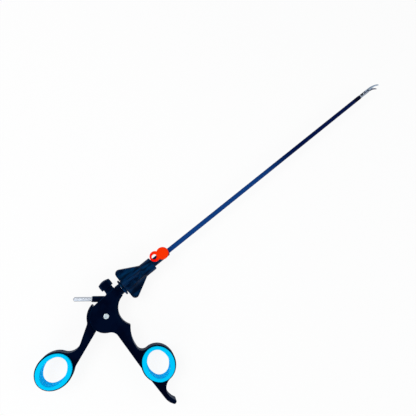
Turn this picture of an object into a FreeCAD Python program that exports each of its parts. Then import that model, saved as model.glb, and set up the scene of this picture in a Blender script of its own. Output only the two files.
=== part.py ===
import FreeCAD, Part
import math
import os
import Sketcher
from FreeCAD import Placement, Rotation, Vector

# A laparoscopic grasper that lies flat: +X runs along the shaft to the jaws, +Z is up, and the
# two finger rings hang towards -X and -Y. The origin is on the shaft's axis, at the front face of
# the flushing hub, where the slim working shaft starts. Millimetres and degrees.

doc = FreeCAD.newDocument("laparoscopic_grasper")

# name, value, what it measures
SHEET_ROWS = [
    # the shaft and the tube in it
    ("shaft_length", 306.0, "hub face to the bare steel of the tip"),
    ("tube_radius", 2.1, "outside of the steel tube"),
    ("tube_wall", 0.6, "wall of the steel tube"),
    ("sheath_wall", 0.4, "insulation over the tube, with its gap"),
    ("press_gap", 0.01, "between pieces pushed together"),
    ("running_gap", 0.05, "between a turning piece and its bearing"),
    ("side_gap", 0.3, "between moving pieces that do not bear on each other"),
    # the flushing hub and its port
    ("hub_length", 18.8, "visible length of the hub"),
    ("hub_radius", 4.1, "outside of the hub"),
    ("hub_spigot_radius", 3.4, "part of the hub that enters the knob"),
    ("hub_spigot", 3.2, "depth of the hub in the knob"),
    ("sheath_tuck", 4.0, "depth of the insulation in the hub"),
    ("sheath_step", 0.2, "insulation turned down in the hub"),
    ("port_back", 6.3, "port axis behind the hub face"),
    ("port_turn", 10.0, "roll of the port about the shaft, towards +Y"),
    ("port_boss_radius", 4.3, "boss that carries the port"),
    ("port_boss_top", 6.2, "height of the boss over the axis"),
    ("port_flange_radius", 3.9, "lock flange of the port"),
    ("port_top", 10.4, "height of the port over the axis"),
    ("port_bore", 2.0, "bore of the port"),
    ("port_stem_radius", 2.7, "barrel of the port under its flange"),
    ("flush_hole", 0.8, "drilling from the port into the tube"),
    # the soft cap of the port
    ("cap_radius", 6.0, "disc of the cap"),
    ("cap_skirt_radius", 4.9, "skirt of the cap"),
    ("cap_skirt_depth", 3.3, "how far the skirt reaches down the port"),
    ("cap_thick", 2.8, "disc of the cap"),
    ("cap_plug", 2.4, "plug in the bore"),
    ("tab_radius", 5.1, "outside of the pull ring"),
    ("tab_hole", 2.6, "hole of the pull ring"),
    ("tab_thick", 1.8, "pull ring"),
    ("tab_reach", 7.6, "cap axis to the ring's centre"),
    ("tab_turn", 160.0, "direction of the pull ring round the cap"),
    ("tab_tilt", 8.0, "droop of the pull ring"),
    # the knob that turns the shaft
    ("knob_length", 34.4, "front collar to the back of the wings"),
    ("collar_length", 11.7, "plain collar at the front"),
    ("collar_radius", 6.6, "plain collar at the front"),
    ("wing_corner", 18.9, "rim of the wings before it is rounded"),
    ("wing_radius", 16.0, "where the thickness of the wings is measured"),
    ("wing_thick", 4.0, "wings at their crest"),
    ("wing_round", 3.75, "rounded rim of the wings"),
    ("valley_radius", 7.4, "bottom of the valleys at the back"),
    ("valley_front", 9.2, "radius of the valley cut at the front"),
    ("wing_turn", 9.0, "roll of the wings, towards -Y"),
    ("knob_boss_radius", 6.0, "spacer behind the wings"),
    ("knob_boss", 0.9, "spacer behind the wings"),
    ("flange_radius", 8.0, "disc behind the knob"),
    ("flange_thick", 1.6, "disc behind the knob"),
    ("flange_bevel", 0.4, "rim of that disc"),
    # the steel sleeve that couples the shaft to the handle
    ("sleeve_radius", 3.0, "outside of the sleeve"),
    ("sleeve_front", 22.0, "front of the sleeve behind the hub face"),
    ("tube_tuck", 8.0, "depth of the tube in the sleeve"),
    ("sleeve_tail", 3.6, "sleeve behind the middle of its latch groove"),
    ("groove_radius", 2.3, "bottom of the latch groove"),
    ("latch_thick", 1.2, "latch plate"),
    ("seal_section", 0.6, "radius of the seals' section"),
    # the fixed handle, measured from the main pivot
    ("neck_gap", 0.3, "flange to the neck of the handle"),
    ("neck_radius", 5.2, "round neck"),
    ("neck_length", 3.4, "round neck before the flat beam"),
    ("pivot_back", 25.5, "main pivot behind the face of the neck"),
    ("pivot_drop", 11.3, "main pivot under the shaft's axis"),
    ("grip_thick", 11.0, "fixed handle"),
    ("edge_round", 1.1, "rounded edges of the mouldings"),
    ("disc_radius", 15.0, "round cheek about the pivot"),
    ("beam_lean", 92.8, "where the beam's top leaves the cheek, about the pivot"),
    ("arm_root", 261.0, "where the arm leaves the cheek, about the pivot"),
    ("recess_radius", 16.7, "rest for the index finger"),
    ("recess_drop", 22.4, "centre of that rest under the shaft's axis"),
    ("arm_front", 4.0, "front edge of the arm from the pivot"),
    ("cheek_blend", 8.0, "hollow between the cheek and the arm"),
    ("nub_x", 11.8, "nub that ends the finger rest, from the pivot"),
    ("nub_round", 1.6, "rounded nub"),
    ("hook_x", -4.0, "back of the hook from the pivot"),
    ("hook_end_y", -103.4, "end of the hook from the pivot"),
    ("hook_bay", 9.8, "round bay of the hook"),
    ("bevel_wide", 3.2, "bevel round the finger rest"),
    ("bevel_deep", 2.0, "bevel round the finger rest"),
    ("ring_wall", 3.0, "moulded ring round the seat of its liner"),
    ("lip_over", 1.8, "lip of the liner on the ring's face"),
    ("lip_thick", 1.6, "lip of the liner"),
    ("lip_round", 0.7, "rounded lip"),
    ("finger_x", 10.1, "centre of the finger ring from the pivot"),
    ("finger_y", -65.1, "centre of the finger ring from the pivot"),
    ("finger_seat_x", 12.5, "half width of the liner's seat"),
    ("finger_seat_y", 14.8, "half height of the liner's seat"),
    ("finger_bore_x", 10.1, "half width of the finger hole"),
    ("finger_bore_y", 13.2, "half height of the finger hole"),
    ("finger_turn", -12.0, "roll of the finger hole in its ring"),
    ("slot_thick", 5.8, "slot for the thumb lever"),
    ("slot_high", 12.9, "upper end of the slot's front wall, about the pivot"),
    ("slot_low", 300.1, "lower end of that wall, about the pivot"),
    ("rest_wall", 1.5, "wall between the slot and the finger rest"),
    ("mouth_end", 256.0, "end of the slot's mouth, about the pivot"),
    ("passage_end", 7.5, "end of the sleeve's passage in the slot, from the pivot"),
    ("tang_thick", 5.0, "tang of the thumb lever"),
    ("tang_radius", 14.4, "tang of the thumb lever about the pivot"),
    ("tang_low", 285.0, "lower end of the flat on the tang, about the pivot"),
    ("tang_high", 28.0, "upper end of that flat, about the pivot"),
    # the thumb lever
    ("lever_thick", 10.0, "arm and ring of the thumb lever"),
    ("brow_radius", 17.5, "raised edge that hugs the cheek"),
    ("brow_gap", 0.45, "between that edge and the cheek"),
    ("brow_start", 103.5, "nose of the raised edge about the pivot"),
    ("brow_end", 160.0, "where it meets the arm, about the pivot"),
    ("brow_foot", 198.0, "lower end of the edge about the pivot"),
    ("brow_blend", 5.0, "hollow where the edge meets the arm"),
    ("dip_x", -45.4, "where the arm's upper edge meets the ring, from the pivot"),
    ("dip_y", -13.9, "where the arm's upper edge meets the ring, from the pivot"),
    ("dip_radius", 10.5, "hollow between the arm and the ring, above"),
    ("under_x", -48.4, "where the arm's lower edge meets the ring, from the pivot"),
    ("under_y", -18.4, "where the arm's lower edge meets the ring, from the pivot"),
    ("under_blend", 8.0, "hollow between the arm and the ring, below"),
    ("lever_opens", 7.0, "travel of the lever from the drawn place to open"),
    ("lever_closes", 4.0, "travel of the lever from the drawn place to closed"),
    ("thumb_x", -60.9, "centre of the thumb ring from the pivot"),
    ("thumb_y", -8.4, "centre of the thumb ring from the pivot"),
    ("thumb_seat_x", 13.9, "half width of the liner's seat"),
    ("thumb_seat_y", 12.5, "half height of the liner's seat"),
    ("thumb_bore_x", 12.7, "half width of the thumb hole"),
    ("thumb_bore_y", 10.3, "half height of the thumb hole"),
    ("thumb_turn", 18.0, "roll of the thumb hole in its ring"),
    # the main pivot
    ("pivot_radius", 1.5, "shank of the pivot screw"),
    ("pivot_head", 2.4, "head of the pivot screw"),
    ("head_deep", 1.7, "height of the head and the nut"),
    ("head_proud", 0.3, "head over the cheek"),
    ("bush_wall", 1.0, "sleeve in the lever"),
    ("washer_radius", 6.0, "slide washers"),
    ("washer_thick", 0.3, "slide washers"),
    ("hex_wide", 2.1, "recess of the screw across its flats"),
    ("hex_deep", 1.1, "recess of the screw"),
    # the release button and its latch
    ("neck_bush_wall", 0.8, "steel bearing in the neck"),
    ("neck_bush_length", 7.0, "steel bearing in the neck"),
    ("button_back", 9.7, "button axis behind the face of the neck"),
    ("button_radius", 6.15, "cap of the button"),
    ("button_rim", 8.7, "lower rim of the cap over the shaft's axis"),
    ("button_top", 16.5, "crown of the cap over the shaft's axis"),
    ("button_roof", 12.9, "inside of the cap over the shaft's axis"),
    ("button_bore", 4.65, "inside of the cap"),
    ("button_stem", 2.2, "stem of the button"),
    ("stem_end", 5.5, "end of the stem over the shaft's axis"),
    ("tongue_top", 7.6, "tongue of the latch plate in the stem, over the shaft's axis"),
    ("tongue_half", 1.5, "half width of that tongue"),
    ("button_travel", 1.3, "travel of the button"),
    ("boss_radius", 4.25, "guide boss on the handle"),
    ("boss_top", 10.2, "guide boss over the shaft's axis"),
    ("boss_bore", 3.3, "pocket for the spring"),
    ("spring_seat", 5.6, "floor of that pocket over the shaft's axis"),
    ("spring_wire", 0.3, "radius of the spring's wire"),
    ("spring_turns", 5.0, "turns of the spring"),
    ("latch_hole", 3.25, "hole of the latch plate"),
    ("latch_wall", 0.85, "wall round that hole"),
    ("latch_bite", 0.1, "latch plate to the bottom of the groove"),
    ("latch_low", 3.9, "bottom of the latch plate under the shaft's axis"),
    # the high-frequency contact
    ("pin_radius", 2.0, "contact pin"),
    ("pin_length", 16.9, "visible length of the contact pin"),
    ("pin_turn", 140.0, "direction of the contact pin"),
    ("pin_x", -0.9, "mouth of its socket from the pivot"),
    ("pin_y", 20.5, "mouth of its socket from the pivot"),
    ("pin_shank", 1.5, "shank in the socket"),
    ("pin_depth", 8.4, "shank in the socket"),
    ("socket_radius", 2.8, "moulded socket"),
    # the drive rod
    ("rod_radius", 0.8, "drive rod"),
    ("ball_radius", 1.9, "ball at its end"),
    ("insert_half", 3.1, "steel seat of the ball"),
    # the tool at the tip, seen in a frame rolled about the shaft
    ("tool_turn", 25.0, "roll of the opening plane, from +Z to +Y"),
    ("fork_collar", 1.9, "solid collar of the fork"),
    ("jaw_reach", 14.3, "jaw pivot from the front of the insulation"),
    ("fork_slot", 3.0, "slot of the fork"),
    ("fork_inset", 0.2, "steel of the fork under the face of the insulation"),
    ("yoke_boss", 2.6, "boss of the rod's end behind its eye"),
    ("yoke_eye", 1.6, "flat eye of the rod's end"),
    ("fork_end", 2.0, "rounded end of the prongs about the pivot"),
    ("jaw_pin", 0.73, "pivot pin of the jaws"),
    ("pin_half", 2.2, "half the length of that pin"),
    ("jaw_length", 17.3, "pivot to the tip of a jaw"),
    ("jaw_start", 2.7, "start of the blade before the pivot"),
    ("jaw_base", 2.05, "half width of the blade at its root"),
    ("jaw_tip", 1.0, "half width of the blade near its tip"),
    ("jaw_bend", 4.2, "sideways reach of the curved tip"),
    ("jaw_open", 10.0, "each jaw from closed, as drawn"),
    ("jaw_gap", 0.08, "half the gap between closed jaws"),
    ("jaw_hub", 1.8, "round hub of a jaw"),
    ("tooth_pitch", 0.8, "teeth of the jaws"),
    ("tooth_deep", 0.3, "teeth of the jaws"),
    ("crank_length", 4.8, "jaw pivot to its link, and the link itself"),
    ("crank_closed", 15.0, "crank from the axis when the jaws are closed"),
    ("crank_half", 0.75, "half width of cranks and links"),
    ("crank_thick", 0.8, "crank"),
    ("link_thick", 0.5, "link"),
    ("knee_pin", 0.38, "pin at the knee"),
    ("knee_slack", 0.17, "play of the link on that pin"),
    ("yoke_pin", 0.43, "pin of the links in the rod's end"),
    ("yoke_radius", 1.35, "boss of the rod's end"),
    ("yoke_lead", 0.107, "rod drawn forward in the play of the knees, half way between its ends"),
]


class Size:
    """A size from the sheet, or one worked out from such sizes, with its formula."""

    def __init__(self, number, formula=None):
        self.number = float(number)
        self.formula = formula or f"({float(number)!r})"

    def join(self, other, sign, number):
        return Size(number, f"({self.formula} {sign} {size(other).formula})")

    def __add__(self, other):
        return self.join(other, "+", self.number + size(other).number)

    def __sub__(self, other):
        return self.join(other, "-", self.number - size(other).number)

    def __mul__(self, other):
        return self.join(other, "*", self.number * size(other).number)

    def __truediv__(self, other):
        return self.join(other, "/", self.number / size(other).number)

    def __radd__(self, other):
        return size(other) + self

    def __rsub__(self, other):
        return size(other) - self

    def __rmul__(self, other):
        return size(other) * self

    def __neg__(self):
        return self * -1


def size(value):
    return value if isinstance(value, Size) else Size(value)


def root(value):
    return Size(math.sqrt(value.number), f"sqrt({value.formula})")


def sine(angle):
    return Size(math.sin(math.radians(angle.number)), f"sin({angle.formula})")


def cosine(angle):
    return Size(math.cos(math.radians(angle.number)), f"cos({angle.formula})")


class Sheet:
    """The spreadsheet of driving sizes; each is read back by its name."""

    def __init__(self):
        self.cells = doc.addObject("Spreadsheet::Sheet", "Sizes")
        for row, (name, value, note) in enumerate(SHEET_ROWS, start=1):
            self.cells.set(f"A{row}", name)
            self.cells.set(f"B{row}", str(value))
            self.cells.set(f"C{row}", note)
            self.cells.setAlias(f"B{row}", name)
        doc.recompute()

    def __getattr__(self, name):
        return Size(self.cells.get(name), f"Sizes.{name}")


s = Sheet()

# the shaft's radii, and stations along it
shaft_radius = s.tube_radius + s.sheath_wall
tube_bore = s.tube_radius - s.tube_wall
fork_radius = shaft_radius - s.fork_inset
knob_face = -s.hub_length
knob_back = knob_face - s.knob_length
flange_front = knob_back - s.knob_boss
flange_back = flange_front - s.flange_thick
neck_face = flange_back - s.neck_gap
button_x = neck_face - s.button_back
pivot_x = neck_face - s.pivot_back
pivot_y = -s.pivot_drop
port_x = -s.port_back
sleeve_back = button_x - s.sleeve_tail
half_grip = s.grip_thick / 2
half_slot = s.slot_thick / 2
half_tang = s.tang_thick / 2
half_lever = s.lever_thick / 2
slot_radius = s.tang_radius + s.side_gap
LONG = 40.0


# document helpers

def bind(thing, name, value):
    """Set a property and tie it to its formula."""
    value = size(value)
    thing.setExpression(name, value.formula)


def place(thing, x=0, y=0, z=0, turn=None, prefix="Placement"):
    """Put a thing at a point, its rotation set first and its point tied to the sheet."""
    turn = turn or Rotation()
    where = Vector(size(x).number, size(y).number, size(z).number)
    setattr(thing, prefix, Placement(where, turn))
    for axis, value in zip("xyz", (x, y, z)):
        bind(thing, f"{prefix}.Base.{axis}", value)
    return thing


def new_body(name):
    body = doc.addObject("PartDesign::Body", name)
    body.Label = name
    return body


def new_sketch(body, plane="XY", lift=0, turn=None, x=0, y=0):
    """A sketch on a plane of the body's own origin, lifted along the plane's normal."""
    sketch = body.newObject("Sketcher::SketchObject", f"{body.Name}_sketch")
    role = f"{plane}_Plane"
    support = [item for item in body.Origin.OriginFeatures if item.Role == role][0]
    sketch.AttachmentSupport = [(support, "")]
    sketch.MapMode = "FlatFace"
    place(sketch, x, y, lift, turn, prefix="AttachmentOffset")
    return sketch


def fix(sketch, geometry, point, x, y):
    """Hold a point of a sketch at its two coordinates."""
    for kind, value in (("DistanceX", x), ("DistanceY", y)):
        value = size(value)
        index = sketch.addConstraint(Sketcher.Constraint(kind, geometry, point, value.number))
        sketch.setExpression(f"Constraints[{index}]", value.formula)


def arc_centre(start, end, radius):
    """Centre of the short arc; a positive radius turns left on the way."""
    chord = end - start
    middle = (start + end) / 2
    square = max(radius * radius - chord.Length ** 2 / 4, 0.0)
    left = Vector(-chord.y, chord.x, 0).normalize()
    return middle + left * math.copysign(math.sqrt(square), radius)


def draw(sketch, *steps):
    """A closed outline of points; a third value is the signed radius of the arc that comes there."""
    first_line = len(sketch.Geometry)
    count = len(steps)
    points = [Vector(size(step[0]).number, size(step[1]).number, 0) for step in steps]
    for index, step in enumerate(steps):
        first, last = points[index - 1], points[index]
        if len(step) == 2:
            sketch.addGeometry(Part.LineSegment(first, last), False)
            continue
        radius = size(step[2])
        centre = arc_centre(first, last, radius.number)
        circle = Part.Circle(centre, Vector(0, 0, 1), abs(radius.number))
        ends = [circle.parameter(first), circle.parameter(last)]
        if radius.number < 0:
            ends.reverse()
        sketch.addGeometry(Part.ArcOfCircle(circle, *ends), False)
    for index, step in enumerate(steps):
        line = first_line + index
        following = (index + 1) % count
        end_point = 1 if turns_right(step) else 2
        start_point = 2 if turns_right(steps[following]) else 1
        joint = Sketcher.Constraint("Coincident", line, end_point, first_line + following, start_point)
        sketch.addConstraint(joint)
        fix(sketch, line, end_point, step[0], step[1])
        if len(step) == 3:
            hold_arc(sketch, line, size(step[2]), points[index - 1], points[index])
    return sketch


def turns_right(step):
    return len(step) == 3 and size(step[2]).number < 0


def hold_arc(sketch, index, radius, first, last):
    """An arc is held by its radius, and a half circle by the middle of its ends."""
    if abs((last - first).Length / 2 - abs(radius.number)) < 1e-6:
        return
    tie = Sketcher.Constraint("Radius", index, abs(radius.number))
    number = sketch.addConstraint(tie)
    sign = "" if radius.number > 0 else "-1 * "
    sketch.setExpression(f"Constraints[{number}]", f"{sign}{radius.formula}")


def draw_circle(sketch, x, y, radius):
    radius = size(radius)
    middle = Vector(size(x).number, size(y).number, 0)
    index = sketch.addGeometry(Part.Circle(middle, Vector(0, 0, 1), radius.number), False)
    fix(sketch, index, 3, x, y)
    number = sketch.addConstraint(Sketcher.Constraint("Radius", index, radius.number))
    sketch.setExpression(f"Constraints[{number}]", radius.formula)
    return sketch


def draw_ellipse(sketch, x, y, half_x, half_y):
    """An upright ellipse, held by the ends of its two axes."""
    middle = Vector(size(x).number, size(y).number, 0)
    right = Vector(size(half_x).number, 0, 0)
    top = Vector(0, size(half_y).number, 0)
    tall = top.Length > right.Length
    major, minor = (top, right) if tall else (right, top)
    shape = Part.Ellipse(middle + major, middle + minor, middle)
    index = sketch.addGeometry(shape, False)
    sketch.exposeInternalGeometry(index)
    fix(sketch, index, 3, x, y)
    for line, vector in ((index + 1, major), (index + 2, minor)):
        upright = abs(vector.y) > abs(vector.x)
        axis = sketch.Geometry[line]
        point = 1 if (axis.StartPoint - middle - vector).Length < 1e-6 else 2
        if line == index + 1:
            goal = (x, y + size(half_y)) if upright else (x + size(half_x), y)
            fix(sketch, line, point, *goal)
        else:
            kind, value = ("DistanceY", y + size(half_y)) if upright else ("DistanceX", x + size(half_x))
            value = size(value)
            number = sketch.addConstraint(Sketcher.Constraint(kind, line, point, value.number))
            sketch.setExpression(f"Constraints[{number}]", value.formula)
    return sketch


def draw_oval(sketch, half_x, half_y):
    """An oval of four arcs that meet tangent, about the sketch's own origin."""
    diagonal = root(half_x * half_x + half_y * half_y)
    end = diagonal * (diagonal - half_x + half_y) / (2 * half_x)
    side = diagonal * (diagonal + half_x - half_y) / (2 * half_y)
    x = (half_x - end) * side / (side - end)
    y = end * (side - half_y) / (side - end)
    return draw(sketch, (x, y, end), (-x, y, side), (-x, -y, end), (x, -y, side))


def pad(body, sketch, length, both=False, cut=False, back=False):
    """Raise or cut a sketch along its plane's normal, to one side or to both."""
    kind = "Pocket" if cut else "Pad"
    feature = body.newObject(f"PartDesign::{kind}", f"{body.Name}_{kind.lower()}")
    feature.Profile = sketch
    feature.SideType = "Symmetric" if both else "One side"
    feature.Reversed = back
    bind(feature, "Length", length)
    return feature


def spin(body, sketch, cut=False, axis="H_Axis"):
    """Turn a sketch all the way round an axis of its own."""
    kind = "Groove" if cut else "Revolution"
    feature = body.newObject(f"PartDesign::{kind}", f"{body.Name}_{kind.lower()}")
    feature.Profile = sketch
    feature.ReferenceAxis = (sketch, [axis])
    feature.Angle = 360
    return feature


def turned(body, *outline, cut=False):
    """A solid of revolution about X, from the stations and radii of its outline."""
    sketch = new_sketch(body)
    draw(sketch, *outline)
    return spin(body, sketch, cut)


def turned_up(body, *outline, cut=False):
    """A solid of revolution about Z, from the radii and heights of its outline."""
    sketch = new_sketch(body, "XZ")
    draw(sketch, *outline)
    return spin(body, sketch, cut, "V_Axis")


def tube_like(body, start, end, outside, bore):
    """A plain hollow cylinder along X."""
    return turned(body, (start, bore), (end, bore), (end, outside), (start, outside))


def upright(body, outline, low, high, cut=False):
    """A plate in the XZ plane between two values of Y."""
    sketch = new_sketch(body, "XZ", lift=-size(high))
    draw(sketch, *outline)
    return pad(body, sketch, size(high) - low, cut=cut, back=cut)


def along(direction):
    """The rotation that lays +Z along a direction."""
    return Rotation(Vector(0, 0, 1), Vector(*direction))


def cylinder(body, radius, length, base, turn=None, cut=False):
    kind = "SubtractiveCylinder" if cut else "AdditiveCylinder"
    feature = body.newObject(f"PartDesign::{kind}", f"{body.Name}_{kind}")
    bind(feature, "Radius", radius)
    bind(feature, "Height", length)
    place(feature, *base, turn=turn)
    return feature


def block(body, low, high, cut=False):
    """A box between its lowest and its highest corner."""
    kind = "SubtractiveBox" if cut else "AdditiveBox"
    feature = body.newObject(f"PartDesign::{kind}", f"{body.Name}_{kind}")
    for name, start, end in zip(("Length", "Width", "Height"), low, high):
        bind(feature, name, size(end) - start)
    place(feature, *low)
    return feature


def soften(body, radius, test, cut="Fillet"):
    """Round or bevel the edges of the last feature that pass a test."""
    doc.recompute()
    last = body.Tip
    names = [f"Edge{number}" for number, edge in enumerate(last.Shape.Edges, start=1) if test(edge)]
    feature = body.newObject(f"PartDesign::{cut}", f"{body.Name}_{cut.lower()}")
    feature.Base = (last, names)
    bind(feature, "Radius" if cut == "Fillet" else "Size", radius)
    return feature


def level(height):
    """A test for edges that lie flat at a height of the body."""
    def test(edge):
        box = edge.BoundBox
        return abs(box.ZMin - height.number) < 1e-4 and abs(box.ZMax - height.number) < 1e-4
    return test


def upright_at(x, y, reach=0.01):
    """A test for the upright edges that stand at a point, or near it."""
    def test(edge):
        box = edge.BoundBox
        off = math.hypot(box.Center.x - x.number, box.Center.y - y.number)
        return box.ZLength > 1 and box.XLength + box.YLength < 1e-4 and off < reach
    return test


def station(x):
    """A test for edges that lie in a plane across the body's X axis."""
    def test(edge):
        box = edge.BoundBox
        return abs(box.XMin - x.number) < 1e-4 and abs(box.XMax - x.number) < 1e-4
    return test


def either(first, second):
    """A test that holds where one of two does."""
    return lambda edge: first(edge) or second(edge)


ALONG_Y = Rotation(Vector(0, 0, 1), 90)
ALONG_Z = Rotation(Vector(0, 1, 0), -90)
port_roll = Rotation(Vector(1, 0, 0), -s.port_turn.number)
tool_roll = Rotation(Vector(1, 0, 0), -s.tool_turn.number)
pin_roll = Rotation(Vector(0, 0, 1), s.pin_turn.number)
bush_radius = s.pivot_radius + s.bush_wall
neck_bush_radius = s.sleeve_radius + s.neck_bush_wall


def polar(radius, angle):
    """A point at a radius and an angle about the origin of a sketch."""
    return radius * cosine(angle), radius * sine(angle)


# the fixed handle, drawn about the main pivot

def handle_body():
    body = new_body("handle_body")
    place(body, pivot_x, pivot_y)
    axis = s.pivot_drop
    ring_x = s.finger_seat_x + s.ring_wall
    ring_y = s.finger_seat_y + s.ring_wall
    handle_frame(body, axis, ring_x, ring_y)
    ring = new_sketch(body)
    draw_ellipse(ring, s.finger_x, s.finger_y, ring_x, ring_y)
    pad(body, ring, s.grip_thick, both=True)
    handle_hook(body, ring_y)
    soften(body, s.edge_round, either(level(half_grip), level(-half_grip)))
    finger_bevel(body, axis)
    handle_bosses(body, axis)
    handle_slot(body)
    handle_bores(body, axis)
    handle_ports(body, axis)
    return body


def upright_arc(run, rise):
    """Radius of the arc that leaves upright and ends a run and a rise further."""
    return (run * run + rise * rise) / (2 * run)


def handle_frame(body, axis, ring_x, ring_y):
    """Round cheek, beam to the neck and arm to the finger ring, in one outline."""
    frame = new_sketch(body)
    neck_root = s.pivot_back - s.neck_length
    neck_top = (s.disc_radius - neck_root * cosine(s.beam_lean)) / sine(s.beam_lean)
    recess_y = axis - s.recess_drop
    ring_top = s.finger_y + ring_y
    blend = s.finger_x - s.arm_front

    def recess_point(x):
        off = s.pivot_back - x
        return root(s.recess_radius * s.recess_radius - off * off)

    nub_y = recess_y - recess_point(s.nub_x)
    sweep = upright_arc(s.nub_x - s.arm_front, nub_y - ring_top - blend)
    draw(frame,
         (neck_root, neck_top),
         polar(s.disc_radius, s.beam_lean),
         (*polar(s.disc_radius, s.arm_root), s.disc_radius),
         (s.finger_x - ring_x + 1.2, s.finger_y + 2),
         (s.finger_x, s.finger_y),
         (s.finger_x, ring_top),
         (s.arm_front, ring_top + blend, -blend),
         (s.nub_x, nub_y, -sweep),
         (neck_root, recess_y + recess_point(neck_root), -s.recess_radius))
    pad(body, frame, s.grip_thick, both=True)
    soften(body, s.nub_round, upright_at(s.nub_x, nub_y))
    soften(body, s.cheek_blend, upright_at(*polar(s.disc_radius, s.arm_root)))


def handle_hook(body, ring_y):
    """The finger rest that curls forward under the ring."""
    hook = new_sketch(body)
    ring_low = s.finger_y - ring_y
    throat = s.finger_x - s.hook_bay
    start = ring_low - s.hook_bay
    back_end = (s.hook_x + 3.7, s.hook_end_y)
    front_end = (throat + 2.9, s.hook_end_y + 1.1)
    draw(hook,
         (s.finger_x, ring_low, -s.hook_bay),
         (s.finger_x, s.finger_y),
         (s.hook_x, s.finger_y - 6),
         (s.hook_x, start),
         (*back_end, upright_arc(size(3.7), start - s.hook_end_y)),
         front_end,
         (throat, start, -upright_arc(size(2.9), start - s.hook_end_y - 1.1)))
    pad(body, hook, s.grip_thick, both=True)
    soften(body, 1.6, either(upright_at(*back_end), upright_at(*front_end)))


def finger_bevel(body, axis):
    """The bevel that runs round the rest of the index finger, on both faces."""
    bevel = new_sketch(body, "XZ", lift=s.recess_drop - axis, x=s.pivot_back)
    inner = s.recess_radius - 3
    for side in (1, -1):
        face = side * half_grip
        draw(bevel,
             (s.recess_radius + s.bevel_wide, face),
             (s.recess_radius + s.bevel_wide, face + side),
             (inner, face + side),
             (inner, face - side * s.bevel_deep),
             (s.recess_radius, face - side * s.bevel_deep))
    spin(body, bevel, cut=True, axis="V_Axis")


def handle_bosses(body, axis):
    """Round neck, guide boss of the button and socket of the contact pin."""
    neck_start = s.pivot_back - s.neck_length - 1
    cylinder(body, s.neck_radius, s.neck_length + 1, (neck_start, axis, 0), along((1, 0, 0)))
    boss = new_sketch(body, x=s.pivot_back - s.button_back)
    flare = s.boss_radius + 1.6
    draw(boss,
         (0, axis + 1),
         (flare, axis + 1),
         (flare, axis + 3.9),
         (s.boss_radius, axis + 5.9, -2.4),
         (s.boss_radius, axis + s.boss_top),
         (0, axis + s.boss_top))
    spin(body, boss, axis="V_Axis")
    reach_x, reach_y = polar(size(12), s.pin_turn)
    socket = (s.pin_x - reach_x, s.pin_y - reach_y, 0)
    cylinder(body, s.socket_radius, 12, socket, pin_direction())


def pin_direction():
    turn = math.radians(s.pin_turn.number)
    return along((math.cos(turn), math.sin(turn), 0))


def handle_slot(body):
    """The slot between the cheeks, closed towards the neck and open towards the thumb."""
    slot = new_sketch(body)
    draw(slot,
         (*polar(slot_radius, s.slot_high), -(s.recess_radius + s.rest_wall)),
         (*polar(slot_radius, size(120)), slot_radius),
         (*polar(slot_radius, size(210)), slot_radius),
         (*polar(slot_radius, s.slot_low), slot_radius))
    pad(body, slot, s.slot_thick, both=True, cut=True)
    mouth = new_sketch(body)
    outer = s.brow_radius + s.side_gap
    inner = s.tang_radius - 1
    start = s.brow_start - s.lever_opens - 1.5
    draw(mouth,
         (*polar(inner, start), -inner),
         polar(outer, start),
         (*polar(outer, s.mouth_end), outer),
         polar(inner, s.mouth_end))
    pad(body, mouth, s.slot_thick, both=True, cut=True)


def handle_bores(body, axis):
    """Pivot, finger hole, neck bearing and the passage of the sleeve."""
    head = s.pivot_head + 0.15
    floor = half_grip + s.head_proud - s.head_deep
    cylinder(body, s.pivot_radius + s.press_gap, LONG, (0, 0, -LONG / 2), cut=True)
    cylinder(body, head, s.head_deep, (0, 0, floor), cut=True)
    cylinder(body, head, s.head_deep, (0, 0, -half_grip + s.head_deep), along((0, 0, -1)), cut=True)
    hole = new_sketch(body, x=s.finger_x, y=s.finger_y)
    draw_oval(hole, s.finger_seat_x + s.press_gap, s.finger_seat_y + s.press_gap)
    pad(body, hole, LONG, both=True, cut=True)
    face = (s.pivot_back, axis, 0)
    back = along((-1, 0, 0))
    cylinder(body, neck_bush_radius + s.press_gap, s.neck_bush_length, face, back, cut=True)
    depth = s.pivot_back - s.passage_end
    cylinder(body, s.sleeve_radius + s.side_gap, depth, face, back, cut=True)


def handle_ports(body, axis):
    """Chamber of the latch, pocket of the spring, socket and groove of the contact."""
    middle = s.pivot_back - s.button_back
    half_latch = s.latch_thick / 2 + s.running_gap
    side = s.latch_hole + s.latch_wall + 0.1
    crest = axis + s.button_travel
    block(body,
          (middle - half_latch, axis - s.latch_low - s.button_travel - 0.2, -side),
          (middle + half_latch, crest, side), cut=True)
    cylinder(body, side, half_latch * 2, (middle - half_latch, crest, 0), along((1, 0, 0)), cut=True)
    up = along((0, 1, 0))
    cylinder(body, s.button_stem + s.running_gap, LONG, (middle, axis, 0), up, cut=True)
    cylinder(body, s.boss_bore, LONG, (middle, axis + s.spring_seat, 0), up, cut=True)
    reach_x, reach_y = polar(s.pin_depth, s.pin_turn)
    foot = (s.pin_x - reach_x, s.pin_y - reach_y, 0)
    cylinder(body, s.pin_shank + s.press_gap, LONG, foot, pin_direction(), cut=True)
    block(body, strip_corner(-1, axis, s.press_gap), strip_corner(1, axis, s.press_gap), cut=True)


def strip_corner(side, axis, gap):
    """Lowest or highest corner of the contact strip, over the sleeve, from the pivot."""
    x = size(5.4) if side < 0 else s.pivot_back - s.button_back - s.button_stem - 0.4
    y = axis + s.sleeve_radius + s.running_gap + (0 if side < 0 else 0.5)
    return x + side * gap, y + side * gap, size(side * 1.3) + side * gap


def contact_strip():
    """The spring strip that carries the current from the pin to the turning sleeve."""
    body = new_body("contact_strip")
    place(body, pivot_x, pivot_y)
    block(body, strip_corner(-1, s.pivot_drop, 0), strip_corner(1, s.pivot_drop, 0))
    return body


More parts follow.
